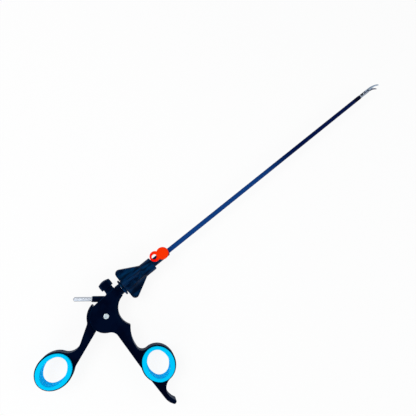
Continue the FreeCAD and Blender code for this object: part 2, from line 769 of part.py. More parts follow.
def hf_pin():
    """The contact pin of the high-frequency cable, drawn outwards from the mouth of its socket."""
    body = new_body("hf_pin")
    place(body, pivot_x + s.pin_x, pivot_y + s.pin_y, turn=pin_roll)
    turned(body,
           (-s.pin_depth, 0),
           (-s.pin_depth, s.pin_shank),
           (0, s.pin_shank),
           (0, s.pin_radius + 0.4),
           (0.9, s.pin_radius + 0.4),
           (0.9, s.pin_radius - 0.4),
           (1.7, s.pin_radius - 0.4),
           (1.7, s.pin_radius),
           (s.pin_length - 0.9, s.pin_radius),
           (s.pin_length, s.pin_radius - 1.1, 1.3),
           (s.pin_length, 0))
    return body


def ring_liner(name, place_in_grip, seat, bore, turn, half_thick):
    """The soft liner of a ring: a sleeve in the moulding with a lip on each face."""
    body = new_body(name)
    place(body, pivot_x + place_in_grip[0], pivot_y + place_in_grip[1])
    core = draw_oval(new_sketch(body), *seat)
    pad(body, core, half_thick * 2, both=True)
    for side in (1, -1):
        lip = new_sketch(body, lift=side * half_thick)
        draw_oval(lip, *[half + s.lip_over for half in seat])
        pad(body, lip, s.lip_thick, back=side < 0)
    crest = half_thick + s.lip_thick
    soften(body, s.lip_round, either(level(crest), level(-crest)))
    hole = new_sketch(body, turn=Rotation(Vector(0, 0, 1), turn.number))
    draw_oval(hole, *bore)
    pad(body, hole, LONG, both=True, cut=True)
    inner = (bore[0] + bore[1]) / 2 + s.lip_over
    rim = either(level(crest), level(-crest))
    soften(body, s.lip_round, lambda edge: rim(edge) and within(edge, inner))
    return body


def within(edge, radius):
    """A test for edges that stay inside a radius about the body's own axis."""
    return all(math.hypot(point.X, point.Y) < radius.number for point in edge.Vertexes)


# the thumb lever, drawn about the main pivot

def thumb_lever():
    body = new_body("thumb_lever")
    place(body, pivot_x, pivot_y)
    ring_x = s.thumb_seat_x + s.ring_wall
    ring_y = s.thumb_seat_y + s.ring_wall
    inner = s.disc_radius + s.brow_gap
    brow = polar(s.brow_radius, s.brow_end)
    arm = new_sketch(body)
    draw(arm,
         (*polar(inner, s.brow_start), -inner),
         polar(s.brow_radius, s.brow_start),
         (*brow, s.brow_radius),
         (s.dip_x, s.dip_y),
         (s.thumb_x, s.thumb_y),
         (s.under_x, s.under_y),
         polar(inner, s.brow_foot))
    pad(body, arm, s.lever_thick, both=True)
    ring = draw_ellipse(new_sketch(body), s.thumb_x, s.thumb_y, ring_x, ring_y)
    pad(body, ring, s.lever_thick, both=True)
    soften(body, s.dip_radius, upright_at(s.dip_x, s.dip_y, 2))
    soften(body, s.under_blend, upright_at(s.under_x, s.under_y, 2))
    soften(body, s.brow_blend, upright_at(*brow))
    rim = either(level(half_lever), level(-half_lever))
    soften(body, s.edge_round - 0.2, lambda edge: rim(edge) and not about_pivot(edge, inner))
    tang = new_sketch(body)
    web_radius = inner + 0.5
    web_start = s.brow_start + 2
    web_end = s.brow_foot - 2
    draw(tang,
         (*polar(s.tang_radius, web_start), s.tang_radius),
         polar(web_radius, web_start),
         (*polar(web_radius, web_end), web_radius),
         polar(s.tang_radius, web_end),
         (*polar(s.tang_radius, s.tang_low), s.tang_radius),
         polar(s.tang_radius, s.tang_high))
    pad(body, tang, s.tang_thick, both=True)
    hole = new_sketch(body, x=s.thumb_x, y=s.thumb_y)
    draw_oval(hole, s.thumb_seat_x + s.press_gap, s.thumb_seat_y + s.press_gap)
    pad(body, hole, LONG, both=True, cut=True)
    cylinder(body, bush_radius + s.press_gap, LONG, (0, 0, -LONG / 2), cut=True)
    low, high = seat_corners(s.press_gap)
    block(body, low, (high[0], high[1] + 4, half_tang + 1), cut=True)
    block(body, (low[0], low[1], -half_tang - 1), (high[0], high[1] + 4, 0), cut=True)
    channel = s.rod_radius + 0.5
    block(body, (0, s.pivot_drop - channel - 0.8, -channel), (LONG, s.pivot_drop + LONG, channel), cut=True)
    return body


def about_pivot(edge, radius):
    """A test for arcs of one radius about the pivot."""
    curve = edge.Curve
    return isinstance(curve, Part.Circle) and abs(curve.Radius - radius.number) < 1e-4


def seat_corners(gap):
    """Lowest and highest corner of the ball's steel seat, from the pivot."""
    half = s.insert_half + gap
    low = (-half, s.pivot_drop - half, -half_tang)
    high = (half, s.pivot_drop + s.insert_half - 0.6, half_tang)
    return low, high


def ball_seat():
    """The steel seat in the top of the tang that drives the ball of the rod."""
    body = new_body("ball_seat")
    place(body, pivot_x, pivot_y)
    low, high = seat_corners(0)
    block(body, low, high)
    hollow = s.ball_radius + 0.12
    up = along((0, 1, 0))
    cylinder(body, hollow, LONG, (0, s.pivot_drop - 0.4, 0), up, cut=True)
    ball = body.newObject("PartDesign::SubtractiveSphere", "ball_hollow")
    bind(ball, "Radius", hollow)
    place(ball, 0, s.pivot_drop - 0.1)
    slot = s.rod_radius + 0.3
    block(body, (0, s.pivot_drop - slot - 0.4, -slot), (LONG, s.pivot_drop + LONG, slot), cut=True)
    return body


def lever_bush():
    """The steel sleeve that turns on the pivot screw."""
    body = new_body("lever_bush")
    place(body, pivot_x, pivot_y, turn=ALONG_Z)
    tube_like(body, -half_tang, half_tang, bush_radius, s.pivot_radius + s.running_gap)
    return body


def pivot_screw():
    """The main pivot: a flush head with a hexagon recess and a plain shank."""
    body = new_body("pivot_screw")
    place(body, pivot_x, pivot_y, turn=ALONG_Z)
    top = half_grip + s.head_proud
    under = top - s.head_deep
    turned(body,
           (-half_grip + 0.3, 0),
           (-half_grip + 0.3, s.pivot_radius - 0.3),
           (-half_grip + 0.6, s.pivot_radius),
           (under, s.pivot_radius),
           (under, s.pivot_head),
           (top - 0.4, s.pivot_head),
           (top, s.pivot_head - 0.4, 0.4),
           (top, 0))
    corner = s.hex_wide / root(size(3))
    recess = new_sketch(body, "YZ", lift=top)
    draw(recess, *[polar(corner, size(60 * turn)) for turn in range(6)])
    pad(body, recess, s.hex_deep, cut=True)
    return body


def pivot_nut():
    """The round nut in the rear cheek, with two spanner holes."""
    body = new_body("pivot_nut")
    place(body, pivot_x, pivot_y, turn=ALONG_Z)
    tube_like(body, -half_grip, -half_grip + s.head_deep, s.pivot_head, s.pivot_radius + s.press_gap)
    for side in (1, -1):
        middle = (s.pivot_head + s.pivot_radius) / 2
        cylinder(body, 0.3, 1, (-half_grip - 0.2, 0, side * middle), along((1, 0, 0)), cut=True)
    return body


def slide_washers():
    """A thin washer on each side of the tang."""
    washers = []
    middle = (half_tang + half_slot) / 2
    for side in (1, -1):
        washer = doc.addObject("Part::Cut", "slide_washer")
        outside = doc.addObject("Part::Cylinder", "washer_disc")
        inside = doc.addObject("Part::Cylinder", "washer_hole")
        bind(outside, "Radius", s.washer_radius)
        bind(inside, "Radius", bush_radius + 0.2)
        for disc in (outside, inside):
            bind(disc, "Height", s.washer_thick)
            place(disc, 0, 0, side * middle - s.washer_thick / 2)
        washer.Base = outside
        washer.Tool = inside
        washers.append(washer)
    pair = doc.addObject("Part::Compound", "slide_washers")
    pair.Label = "slide_washers"
    pair.Links = washers
    place(pair, pivot_x, pivot_y)
    return pair


# the release button, its latch plate and its spring

def release_button():
    """The push button: a domed cap that slides over the guide boss, on a stem to the latch."""
    body = new_body("release_button")
    place(body, button_x, turn=ALONG_Y)
    rim = s.button_radius - 0.25
    turned(body,
           (s.stem_end, 0),
           (s.stem_end, s.button_stem),
           (s.button_roof, s.button_stem),
           (s.button_roof, s.button_bore),
           (s.button_rim, s.button_bore),
           (s.button_rim, rim - 0.4),
           (s.button_rim + 0.4, rim, -0.4),
           (s.button_top - 2.2, rim, -30),
           (s.button_top - 1.1, rim - 1.1, -1.2),
           (s.button_top, 0, -14))
    half_slot_wide = s.latch_thick / 2 + s.press_gap
    side = s.tongue_half + s.press_gap
    block(body,
          (s.stem_end - 1, -half_slot_wide, -side),
          (s.tongue_top + s.press_gap, half_slot_wide, side), cut=True)
    return body


def latch_plate():
    """The plate whose hole bites into the sleeve's groove from below, and frees it when pushed down."""
    body = new_body("latch_plate")
    place(body, button_x)
    plate = new_sketch(body, "YZ")
    half = s.latch_hole + s.latch_wall
    low = s.latch_low
    corner = 1.2
    draw(plate,
         (s.button_travel, -half),
         (s.button_travel, half, half),
         (corner - low, half),
         (-low, half - corner, corner),
         (-low, corner - half),
         (corner - low, -half, corner))
    pad(body, plate, s.latch_thick, both=True)
    half_thick = s.latch_thick / 2
    shoulder = s.button_travel + s.latch_hole + s.latch_wall / 2
    block(body, (-half_thick, shoulder, -s.tongue_half), (half_thick, s.tongue_top, s.tongue_half))
    sideways = along((1, 0, 0))
    for height in (s.button_travel, s.latch_hole - s.groove_radius - s.latch_bite):
        cylinder(body, s.latch_hole, LONG, (-LONG / 2, height, 0), sideways, cut=True)
    return body


def button_spring():
    """The coil spring between the guide boss and the roof of the cap."""
    mean = (s.button_stem + s.boss_bore) / 2
    height = s.button_roof - s.spring_seat - 2 * s.spring_wire
    helix = doc.addObject("Part::Helix", "spring_line")
    bind(helix, "Radius", mean)
    bind(helix, "Height", height)
    bind(helix, "Pitch", height / s.spring_turns)
    wire = doc.addObject("Part::Circle", "spring_section")
    bind(wire, "Radius", s.spring_wire)
    place(wire, mean, turn=along((0, 1, 0)))
    coil = doc.addObject("Part::Sweep", "button_spring")
    coil.Label = "button_spring"
    doc.recompute()
    coil.Sections = [wire]
    coil.Spine = (helix, [f"Edge{i + 1}" for i in range(len(helix.Shape.Edges))])
    coil.Solid = True
    coil.Frenet = True
    place(coil, button_x, s.spring_seat + s.spring_wire, 0, along((0, 1, 0)))
    return coil


# what turns with the shaft

def coupling_sleeve():
    """The steel sleeve that carries hub, knob and tube, and locks in the handle by its groove."""
    body = new_body("coupling_sleeve")
    front = -s.sleeve_front
    groove = s.latch_thick / 2 + 0.15
    seat = front - s.tube_tuck
    wide = s.tube_radius + s.press_gap
    narrow = s.rod_radius + 0.25
    turned(body,
           (front, wide),
           (front, s.sleeve_radius),
           (button_x + groove, s.sleeve_radius),
           (button_x + groove, s.groove_radius),
           (button_x - groove, s.groove_radius),
           (button_x - groove, s.sleeve_radius),
           (sleeve_back + 0.6, s.sleeve_radius),
           (sleeve_back, s.sleeve_radius - 0.6),
           (sleeve_back, narrow),
           (seat - 2 * s.seal_section, narrow),
           (seat - 2 * s.seal_section, wide))
    return body


def rod_seal():
    """The seal ring that keeps gas from escaping along the rod."""
    body = new_body("rod_seal")
    ring = new_sketch(body)
    middle = s.rod_radius + s.running_gap + s.seal_section
    draw_circle(ring, -s.sleeve_front - s.tube_tuck - s.seal_section, middle, s.seal_section)
    spin(body, ring)
    return body


def neck_bush():
    """The steel bearing of the sleeve in the neck of the handle."""
    body = new_body("neck_bush")
    tube_like(body, neck_face - s.neck_bush_length, neck_face, neck_bush_radius,
              s.sleeve_radius + s.running_gap)
    return body


def knob_flange():
    """The disc between the knob and the neck."""
    body = new_body("knob_flange")
    rim = s.flange_bevel
    turned(body,
           (flange_back, s.sleeve_radius + s.press_gap),
           (flange_front, s.sleeve_radius + s.press_gap),
           (flange_front, s.flange_radius - rim),
           (flange_front - rim, s.flange_radius),
           (flange_back + rim, s.flange_radius),
           (flange_back, s.flange_radius - rim))
    return body


def rotation_knob():
    """The winged knob, drawn with its wings upright and rolled by its placement."""
    body = new_body("rotation_knob")
    place(body, turn=Rotation(Vector(1, 0, 0), s.wing_turn.number))
    turned(body,
           (flange_front, 0),
           (flange_front, s.knob_boss_radius),
           (knob_back, s.knob_boss_radius),
           (knob_back, s.wing_corner),
           (knob_face - s.collar_length, s.collar_radius),
           (knob_face, s.collar_radius),
           (knob_face, 0))
    soften(body, s.wing_round, crest_edge)
    knob_valleys(body)
    soften(body, 0.5, station(knob_face), "Chamfer")
    spigot = s.hub_spigot_radius + s.press_gap
    back = along((-1, 0, 0))
    cylinder(body, spigot, s.hub_spigot, (knob_face, 0, 0), back, cut=True)
    cylinder(body, s.sleeve_radius + s.press_gap, LONG, (knob_face, 0, 0), back, cut=True)
    return body


def crest_edge(edge):
    """The sharp rim of the wings."""
    return abs(edge.BoundBox.YMax - s.wing_corner.number) < 1e-3 and edge.BoundBox.XLength < 1e-3


def knob_valleys(body):
    """Four valleys, each a cone that leaves a wing between it and the next."""
    crest = root(s.wing_radius * s.wing_radius - s.wing_thick * s.wing_thick / 4)
    diagonal = root(size(2))
    spread = crest + s.wing_thick / 2 - diagonal * s.valley_radius
    back_off = (s.wing_radius * s.wing_radius - s.valley_radius * s.valley_radius) / (2 * spread)
    back_radius = diagonal * back_off - s.valley_radius
    front_off = (s.collar_radius + s.valley_front + 0.05) / diagonal
    back_circle = new_sketch(body, "YZ", lift=knob_back - 0.02)
    draw_circle(back_circle, back_off, back_off, back_radius)
    front_circle = new_sketch(body, "YZ", lift=knob_face - s.collar_length + 0.5)
    draw_circle(front_circle, front_off, front_off, s.valley_front)
    valley = body.newObject("PartDesign::SubtractiveLoft", "knob_valley")
    valley.Profile = back_circle
    valley.Sections = [front_circle]
    doc.recompute()
    ring = body.newObject("PartDesign::PolarPattern", "knob_valleys")
    ring.Originals = [valley]
    ring.Axis = (back_circle, ["N_Axis"])
    ring.Angle = 360
    ring.Occurrences = 4
    body.Tip = ring


def port_hub():
    """The hub at the root of the shaft, with the boss of the flushing port."""
    body = new_body("port_hub")
    place(body, turn=port_roll)
    rear = knob_face - s.hub_spigot
    turned(body,
           (rear, 0),
           (rear, s.hub_spigot_radius),
           (knob_face, s.hub_spigot_radius),
           (knob_face, s.hub_radius),
           (-0.8, s.hub_radius),
           (0, s.hub_radius - 0.8),
           (0, 0))
    cylinder(body, s.port_boss_radius, s.port_boss_top, (port_x, 0, 0))
    forward = along((1, 0, 0))
    cylinder(body, s.tube_radius + s.press_gap, LONG, (rear - 1, 0, 0), forward, cut=True)
    sheath = shaft_radius - s.sheath_step + s.press_gap
    cylinder(body, sheath, LONG, (-s.sheath_tuck, 0, 0), forward, cut=True)
    cylinder(body, s.port_stem_radius + s.press_gap, LONG, (port_x, 0, s.hub_radius - 0.6), cut=True)
    cylinder(body, s.flush_hole, LONG, (port_x, 0, 0), cut=True)
    return body


def luer_port():
    """The steel port under the cap: a barrel with a lock flange and a straight bore."""
    body = new_body("luer_port")
    place(body, port_x, turn=port_roll)
    foot = s.hub_radius - 0.6
    turned_up(body,
              (s.port_bore, foot),
              (s.port_stem_radius, foot),
              (s.port_stem_radius, s.port_top - 1.6),
              (s.port_flange_radius, s.port_top - 1),
              (s.port_flange_radius, s.port_top),
              (s.port_bore, s.port_top))
    return body


def flush_cap():
    """The soft cap of the port, moulded in one piece with its pull ring."""
    body = new_body("flush_cap")
    place(body, port_x, turn=port_roll)
    roof = s.port_top + 0.1
    crown = roof + s.cap_thick
    hem = roof - s.cap_skirt_depth
    turned_up(body,
              (0, hem),
              (s.cap_skirt_radius, hem),
              (s.cap_skirt_radius, roof - 0.5),
              (s.cap_radius - 0.4, roof - 0.2),
              (s.cap_radius, roof + 0.3, 0.6),
              (s.cap_radius, crown - 1.1),
              (s.cap_radius - 1.1, crown, 1.1),
              (0, crown))
    tab_x, tab_y = polar(s.tab_reach, s.tab_turn)
    tilt = Rotation(Vector(0, 1, 0), -s.tab_tilt.number)
    tab = (tab_x, tab_y, hem + 0.9)
    cylinder(body, s.tab_radius, s.tab_thick, tab, tilt)
    cylinder(body, s.tab_hole, LONG, (tab_x, tab_y, hem - 5), tilt, cut=True)
    cylinder(body, s.port_flange_radius + s.running_gap, roof - hem + 1, (0, 0, hem - 1), cut=True)
    plug = s.port_bore - s.running_gap
    cylinder(body, plug, s.cap_plug + 0.2, (0, 0, roof - s.cap_plug))
    return body


def outer_tube():
    """The steel tube of the shaft, drilled under the port."""
    body = new_body("outer_tube")
    place(body, turn=port_roll)
    tube_like(body, -s.sleeve_front - s.tube_tuck, s.shaft_length, s.tube_radius, tube_bore)
    cylinder(body, s.flush_hole, LONG, (port_x, 0, 0), cut=True)
    return body


def shaft_insulation():
    """The insulation of the shaft, turned down where it enters the hub."""
    body = new_body("shaft_insulation")
    bore = s.tube_radius + s.press_gap
    turned(body,
           (-s.sheath_tuck, bore),
           (s.shaft_length, bore),
           (s.shaft_length, shaft_radius),
           (0, shaft_radius),
           (0, shaft_radius - s.sheath_step),
           (-s.sheath_tuck, shaft_radius - s.sheath_step))
    return body


# the drive rod and the tool, drawn with the jaws opening in the XZ plane

jaw_pivot = s.shaft_length + s.jaw_reach
crank_turn = s.crank_closed + s.jaw_open
yoke_back = 2 * s.crank_length * cosine(crank_turn) - s.yoke_lead
yoke_x = jaw_pivot - yoke_back
crank_low = s.running_gap
crank_high = crank_low + s.crank_thick
link_low = crank_high + s.running_gap
link_high = link_low + s.link_thick


def drive_rod():
    body = new_body("drive_rod")
    front = yoke_x - s.yoke_eye + 0.1
    turned(body, (pivot_x, 0), (pivot_x, s.rod_radius), (front, s.rod_radius), (front, 0))
    return body


def rod_ball():
    """The ball at the rear end of the rod, with its neck."""
    body = new_body("rod_ball")
    place(body, pivot_x)
    ball = body.newObject("PartDesign::AdditiveSphere", "ball")
    bind(ball, "Radius", s.ball_radius)
    cylinder(body, s.rod_radius + s.press_gap, LONG, (0, 0, 0), along((1, 0, 0)), cut=True)
    return body


def rod_yoke():
    """The front end of the rod: a boss on the rod and a flat eye for the links."""
    body = new_body("rod_yoke")
    place(body, yoke_x, turn=tool_roll)
    forward = along((1, 0, 0))
    cylinder(body, s.yoke_radius, s.yoke_boss - 1, (-s.yoke_boss, 0, 0), forward)
    half = s.crank_half
    outline = [(-s.yoke_eye, -half), (0, -half), (0, half, half), (-s.yoke_eye, half)]
    upright(body, outline, -crank_high, crank_high)
    depth = s.yoke_boss - s.yoke_eye + 0.1
    cylinder(body, s.rod_radius + s.press_gap, depth, (-s.yoke_boss, 0, 0), forward, cut=True)
    cylinder(body, s.yoke_pin + s.press_gap, LONG, (0, -LONG / 2, 0), along((0, 1, 0)), cut=True)
    return body


def cross_pin(name, x, radius, low, high, turn=None, z=0):
    """A plain pin across the tool."""
    body = new_body(name)
    place(body, x, turn=turn or tool_roll)
    cylinder(body, radius, size(high) - low, (0, low, z), along((0, 1, 0)))
    return body


def tool_fork():
    """The steel fork of the tip: spigot in the tube, collar and two rounded prongs."""
    body = new_body("tool_fork")
    place(body, turn=tool_roll)
    start = s.shaft_length
    turned(body,
           (start - 5, 0),
           (start - 5, tube_bore - s.press_gap),
           (start, tube_bore - s.press_gap),
           (start, fork_radius),
           (jaw_pivot + s.fork_end + 0.5, fork_radius),
           (jaw_pivot + s.fork_end + 0.5, 0))
    half = s.fork_slot / 2
    window = start + s.fork_collar
    block(body, (window, -half, -5), (jaw_pivot + 9, half, 5), cut=True)
    end = s.fork_end
    far = jaw_pivot + 9
    outline = [(jaw_pivot, 3), (jaw_pivot, end), (jaw_pivot, -end, -end), (jaw_pivot, -3), (far, -3), (far, 3)]
    upright(body, outline, -5, 5, cut=True)
    cylinder(body, s.rod_radius + 0.25, LONG, (start - 10, 0, 0), along((1, 0, 0)), cut=True)
    cylinder(body, s.jaw_pin + s.press_gap, LONG, (jaw_pivot, -LONG / 2, 0), along((0, 1, 0)), cut=True)
    return body


def jaw(name, side):
    """A jaw of the curved dissecting kind; side is +1 for the jaw that opens upwards."""
    body = new_body(name)
    opening = Rotation(Vector(0, 1, 0), -side * s.jaw_open.number)
    place(body, jaw_pivot, turn=tool_roll * opening)
    jaw_blade(body, side)
    jaw_root(body, side)
    jaw_teeth(body, side)
    return body


def jaw_blade(body, side):
    """A half-round blade that tapers and curves sideways."""
    sections = []
    reach = s.jaw_length - s.jaw_start
    for part, blunt in ((0, 1), (0.25, 1), (0.5, 1), (0.75, 1), (0.94, 1), (1, 0.65)):
        half = (s.jaw_base - (s.jaw_base - s.jaw_tip) * part) * blunt
        middle = -s.jaw_bend * part ** 3
        flat = side * s.jaw_gap
        section = new_sketch(body, "YZ", lift=s.jaw_start + reach * part)
        draw(section, (middle + half, flat), (middle - half, flat, side * half * 1.02))
        sections.append(section)
    blade = body.newObject("PartDesign::AdditiveLoft", f"{body.Name}_blade")
    blade.Profile = sections[0]
    blade.Sections = sections[1:]


def jaw_root(body, side):
    """Hub on the pivot pin, cheek into the blade and crank to the link."""
    low, high = (crank_low, link_high) if side > 0 else (-link_high, -crank_low)
    crank_band = (crank_low, crank_high) if side > 0 else (-crank_high, -crank_low)
    hub = s.jaw_hub
    cheek = [(0, side * hub), (0, -side * hub, side * hub), (s.jaw_start, -side * 0),
             (s.jaw_start + 1.2, side * s.jaw_gap), (s.jaw_start + 1.2, side * hub * 0.9)]
    upright(body, cheek, low, high)
    turn = s.crank_closed
    knee_x = -s.crank_length * cosine(turn)
    knee_z = -side * s.crank_length * sine(turn)
    half = s.crank_half
    off_x = half * sine(turn)
    off_z = half * cosine(turn)
    ring = (knee_x - off_x, knee_z + side * off_z)
    under = (knee_x + off_x, knee_z - side * off_z)
    crank = [(-off_x, side * off_z), (*ring,), (*under, side * half), (off_x, -side * off_z)]
    upright(body, crank, *crank_band)
    across = along((0, 1, 0))
    cylinder(body, s.jaw_pin + 0.03, LONG, (0, -LONG / 2, 0), across, cut=True)
    cylinder(body, s.knee_pin + s.press_gap, LONG, (knee_x, -LONG / 2, knee_z), across, cut=True)


def jaw_teeth(body, side):
    """Cross teeth on the flat of the blade, set along its curve."""
    reach = s.jaw_length - s.jaw_start
    bend = reach * reach / (2 * s.jaw_bend)
    first = s.jaw_start + 2
    flat = side * s.jaw_gap
    tooth = new_sketch(body, "XZ")
    half = s.tooth_pitch * 0.42
    draw(tooth, (first - half, flat - side * 0.05), (first + half, flat - side * 0.05),
         (first, flat + side * s.tooth_deep))
    cut = pad(body, tooth, 8, both=True, cut=True)
    doc.recompute()
    axis = body.newObject("PartDesign::Line", f"{body.Name}_curve_axis")
    place(axis, s.jaw_start, -bend)
    row = body.newObject("PartDesign::PolarPattern", f"{body.Name}_teeth")
    row.Originals = [cut]
    row.Axis = (axis, [""])
    row.Reversed = True
    count = int((reach.number - 4) / s.tooth_pitch.number)
    row.Occurrences = count
    bind(row, "Angle", (count - 1) * s.tooth_pitch / bend * (180 / math.pi))
    body.Tip = row


def jaw_link(name, side):
    """The link between the rod's eye and a crank."""
    body = new_body(name)
    swing = Rotation(Vector(0, 1, 0), side * crank_turn.number)
    place(body, yoke_x, turn=tool_roll * swing)
    half = s.crank_half
    reach = s.crank_length
    outline = [(0, half), (0, -half, half), (reach, -half), (reach, half, half)]
    band = (link_low, link_high) if side > 0 else (-link_high, -link_low)
    upright(body, outline, *band)
    across = along((0, 1, 0))
    cylinder(body, s.yoke_pin + 0.03, LONG, (0, -LONG / 2, 0), across, cut=True)
    cylinder(body, s.knee_pin + s.knee_slack, LONG, (reach, -LONG / 2, 0), across, cut=True)
    return body


def knee_pin(name, side):
    """The pin of a crank that its link turns on."""
    body = new_body(name)
    opening = Rotation(Vector(0, 1, 0), -side * s.jaw_open.number)
    place(body, jaw_pivot, turn=tool_roll * opening)
    turn = s.crank_closed
    low, high = (crank_low, link_high) if side > 0 else (-link_high, -crank_low)
    base = (-s.crank_length * cosine(turn), low, -side * s.crank_length * sine(turn))
    cylinder(body, s.knee_pin, high - low, base, along((0, 1, 0)))
    return body


def make_parts():
    yield handle_body()
    yield ring_liner("finger_ring_liner", (s.finger_x, s.finger_y), (s.finger_seat_x, s.finger_seat_y),
                     (s.finger_bore_x, s.finger_bore_y), s.finger_turn, half_grip)
    yield contact_strip()
    yield hf_pin()
    yield pivot_screw()
    yield pivot_nut()
    yield slide_washers()
    yield neck_bush()
    yield thumb_lever()
    yield ring_liner("thumb_ring_liner", (s.thumb_x, s.thumb_y), (s.thumb_seat_x, s.thumb_seat_y),
                     (s.thumb_bore_x, s.thumb_bore_y), s.thumb_turn, half_lever)
    yield ball_seat()
    yield lever_bush()
    yield release_button()
    yield latch_plate()
    yield button_spring()
    yield coupling_sleeve()
    yield rod_seal()
    yield knob_flange()
    yield rotation_knob()
    yield port_hub()
    yield luer_port()
    yield flush_cap()
    yield outer_tube()
    yield shaft_insulation()
    yield tool_fork()
    yield cross_pin("jaw_pivot_pin", jaw_pivot, s.jaw_pin, -s.pin_half, s.pin_half)
    yield drive_rod()
    yield rod_ball()
    yield rod_yoke()
    yield cross_pin("yoke_pin", yoke_x, s.yoke_pin, -link_high, link_high)
    for word, side in (("upper", 1), ("lower", -1)):
        yield jaw(f"{word}_jaw", side)
        yield knee_pin(f"{word}_knee_pin", side)
        yield jaw_link(f"{word}_link", side)


def main():
    """Build every sub-part, check it and write it."""
    parts = list(make_parts())
    doc.recompute()
    faults = [item.Name for item in doc.Objects if {"Invalid", "Error"} & set(item.State)]
    for part in parts:
        if part.Shape.isNull() or not part.Shape.isValid() or part.Shape.Volume <= 0:
            faults.append(part.Label)
    if faults:
        raise SystemExit(f"failed: {', '.join(faults)}")
    os.makedirs("parts", exist_ok=True)
    for part in parts:
        part.Shape.exportStep(f"parts/{part.Label}.step")
        box = part.Shape.BoundBox
        print(f"{part.Label:20} {part.Shape.Volume:10.2f} mm3 {len(part.Shape.Solids)} "
              f"x {box.XMin:8.2f} {box.XMax:8.2f} y {box.YMin:8.2f} {box.YMax:8.2f} "
              f"z {box.ZMin:7.2f} {box.ZMax:7.2f}")


main()
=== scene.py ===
import math

import bpy
from mathutils import Matrix, Vector


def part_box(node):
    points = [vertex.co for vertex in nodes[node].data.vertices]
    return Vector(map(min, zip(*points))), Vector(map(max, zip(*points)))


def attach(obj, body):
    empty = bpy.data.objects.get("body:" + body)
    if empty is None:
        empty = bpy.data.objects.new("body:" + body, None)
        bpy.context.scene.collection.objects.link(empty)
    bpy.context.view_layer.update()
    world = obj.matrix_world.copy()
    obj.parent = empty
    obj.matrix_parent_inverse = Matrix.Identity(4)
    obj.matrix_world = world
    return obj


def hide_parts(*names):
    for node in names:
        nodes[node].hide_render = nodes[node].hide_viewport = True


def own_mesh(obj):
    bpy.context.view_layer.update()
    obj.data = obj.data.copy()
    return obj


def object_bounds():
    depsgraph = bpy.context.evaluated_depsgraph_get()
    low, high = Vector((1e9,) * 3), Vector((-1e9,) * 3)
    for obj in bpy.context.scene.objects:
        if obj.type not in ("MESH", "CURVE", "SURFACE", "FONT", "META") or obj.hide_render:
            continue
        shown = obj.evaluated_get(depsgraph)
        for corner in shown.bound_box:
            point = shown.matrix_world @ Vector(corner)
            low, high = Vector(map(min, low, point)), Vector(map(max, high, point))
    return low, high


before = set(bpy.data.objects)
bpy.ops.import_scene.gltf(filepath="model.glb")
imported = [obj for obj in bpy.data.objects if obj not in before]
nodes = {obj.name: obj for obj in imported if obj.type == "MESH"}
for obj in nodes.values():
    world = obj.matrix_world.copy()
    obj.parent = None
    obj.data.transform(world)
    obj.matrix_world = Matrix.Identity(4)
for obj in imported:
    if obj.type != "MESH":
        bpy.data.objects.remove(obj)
solid_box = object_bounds()

# depths of the finest relief, in metres
lathe_ring_depth = 0.000012
brush_depth = 0.00001
draw_mark_depth = 0.00002
skin_depth = 0.00003
parting_ridge = 0.00008

# the photograph's camera
camera_place = (-0.036293, 0.00896, 0.339977)
camera_tip = math.radians(16)
camera_roll = math.radians(38.338)
camera_lens = 28.99

# the white ground: how far it reaches, its gap under the part, and its share of even white
ground_reach = 3.0
ground_gap = 0.0006
even_white = 0.9
dim_sky = 0.4


# ways to write a finish

class Wire:
    """An output inside a finish; sums and products of wires become Math nodes."""

    def __init__(self, finish, socket):
        self.finish = finish
        self.socket = socket

    def math(self, operation, *others):
        node = self.finish.node("Math", {"operation": operation}, {})
        for socket, value in zip(node.inputs, (self, *others)):
            self.finish.feed(socket, value)
        return Wire(self.finish, node.outputs[0])

    def __add__(self, other):
        return self.math("ADD", other)

    def __sub__(self, other):
        return self.math("SUBTRACT", other)

    def __rsub__(self, other):
        return self.math("MULTIPLY_ADD", -1.0, other)

    def __mul__(self, other):
        return self.math("MULTIPLY", other)

    __radd__ = __add__
    __rmul__ = __mul__


class Nodes:
    """The node tree of a finish or of the studio's backdrop."""

    def __init__(self, tree):
        self.tree = tree

    def node(self, kind, settings, sockets):
        """Add a node: its settings first, then what goes into its sockets."""
        node = self.tree.nodes.new(f"ShaderNode{kind}")
        for label, value in settings.items():
            setattr(node, label, value)
        for label, value in sockets.items():
            self.feed(node.inputs[label], value)
        return node

    def out(self, kind, output, settings=None, sockets=None):
        node = self.node(kind, settings or {}, sockets or {})
        return Wire(self, node.outputs[output])

    def feed(self, socket, value):
        if isinstance(value, Wire):
            self.tree.links.new(value.socket, socket)
        else:
            socket.default_value = value

    def seen_directly(self):
        """1 for what the camera, a mirror or glass sees, 0 for light that falls on the object."""
        path = self.node("LightPath", {}, {})
        camera, glossy, through = (Wire(self, path.outputs[f"Is {kind} Ray"])
                                   for kind in ("Camera", "Glossy", "Transmission"))
        return (camera + glossy + through).math("MINIMUM", 1.0)


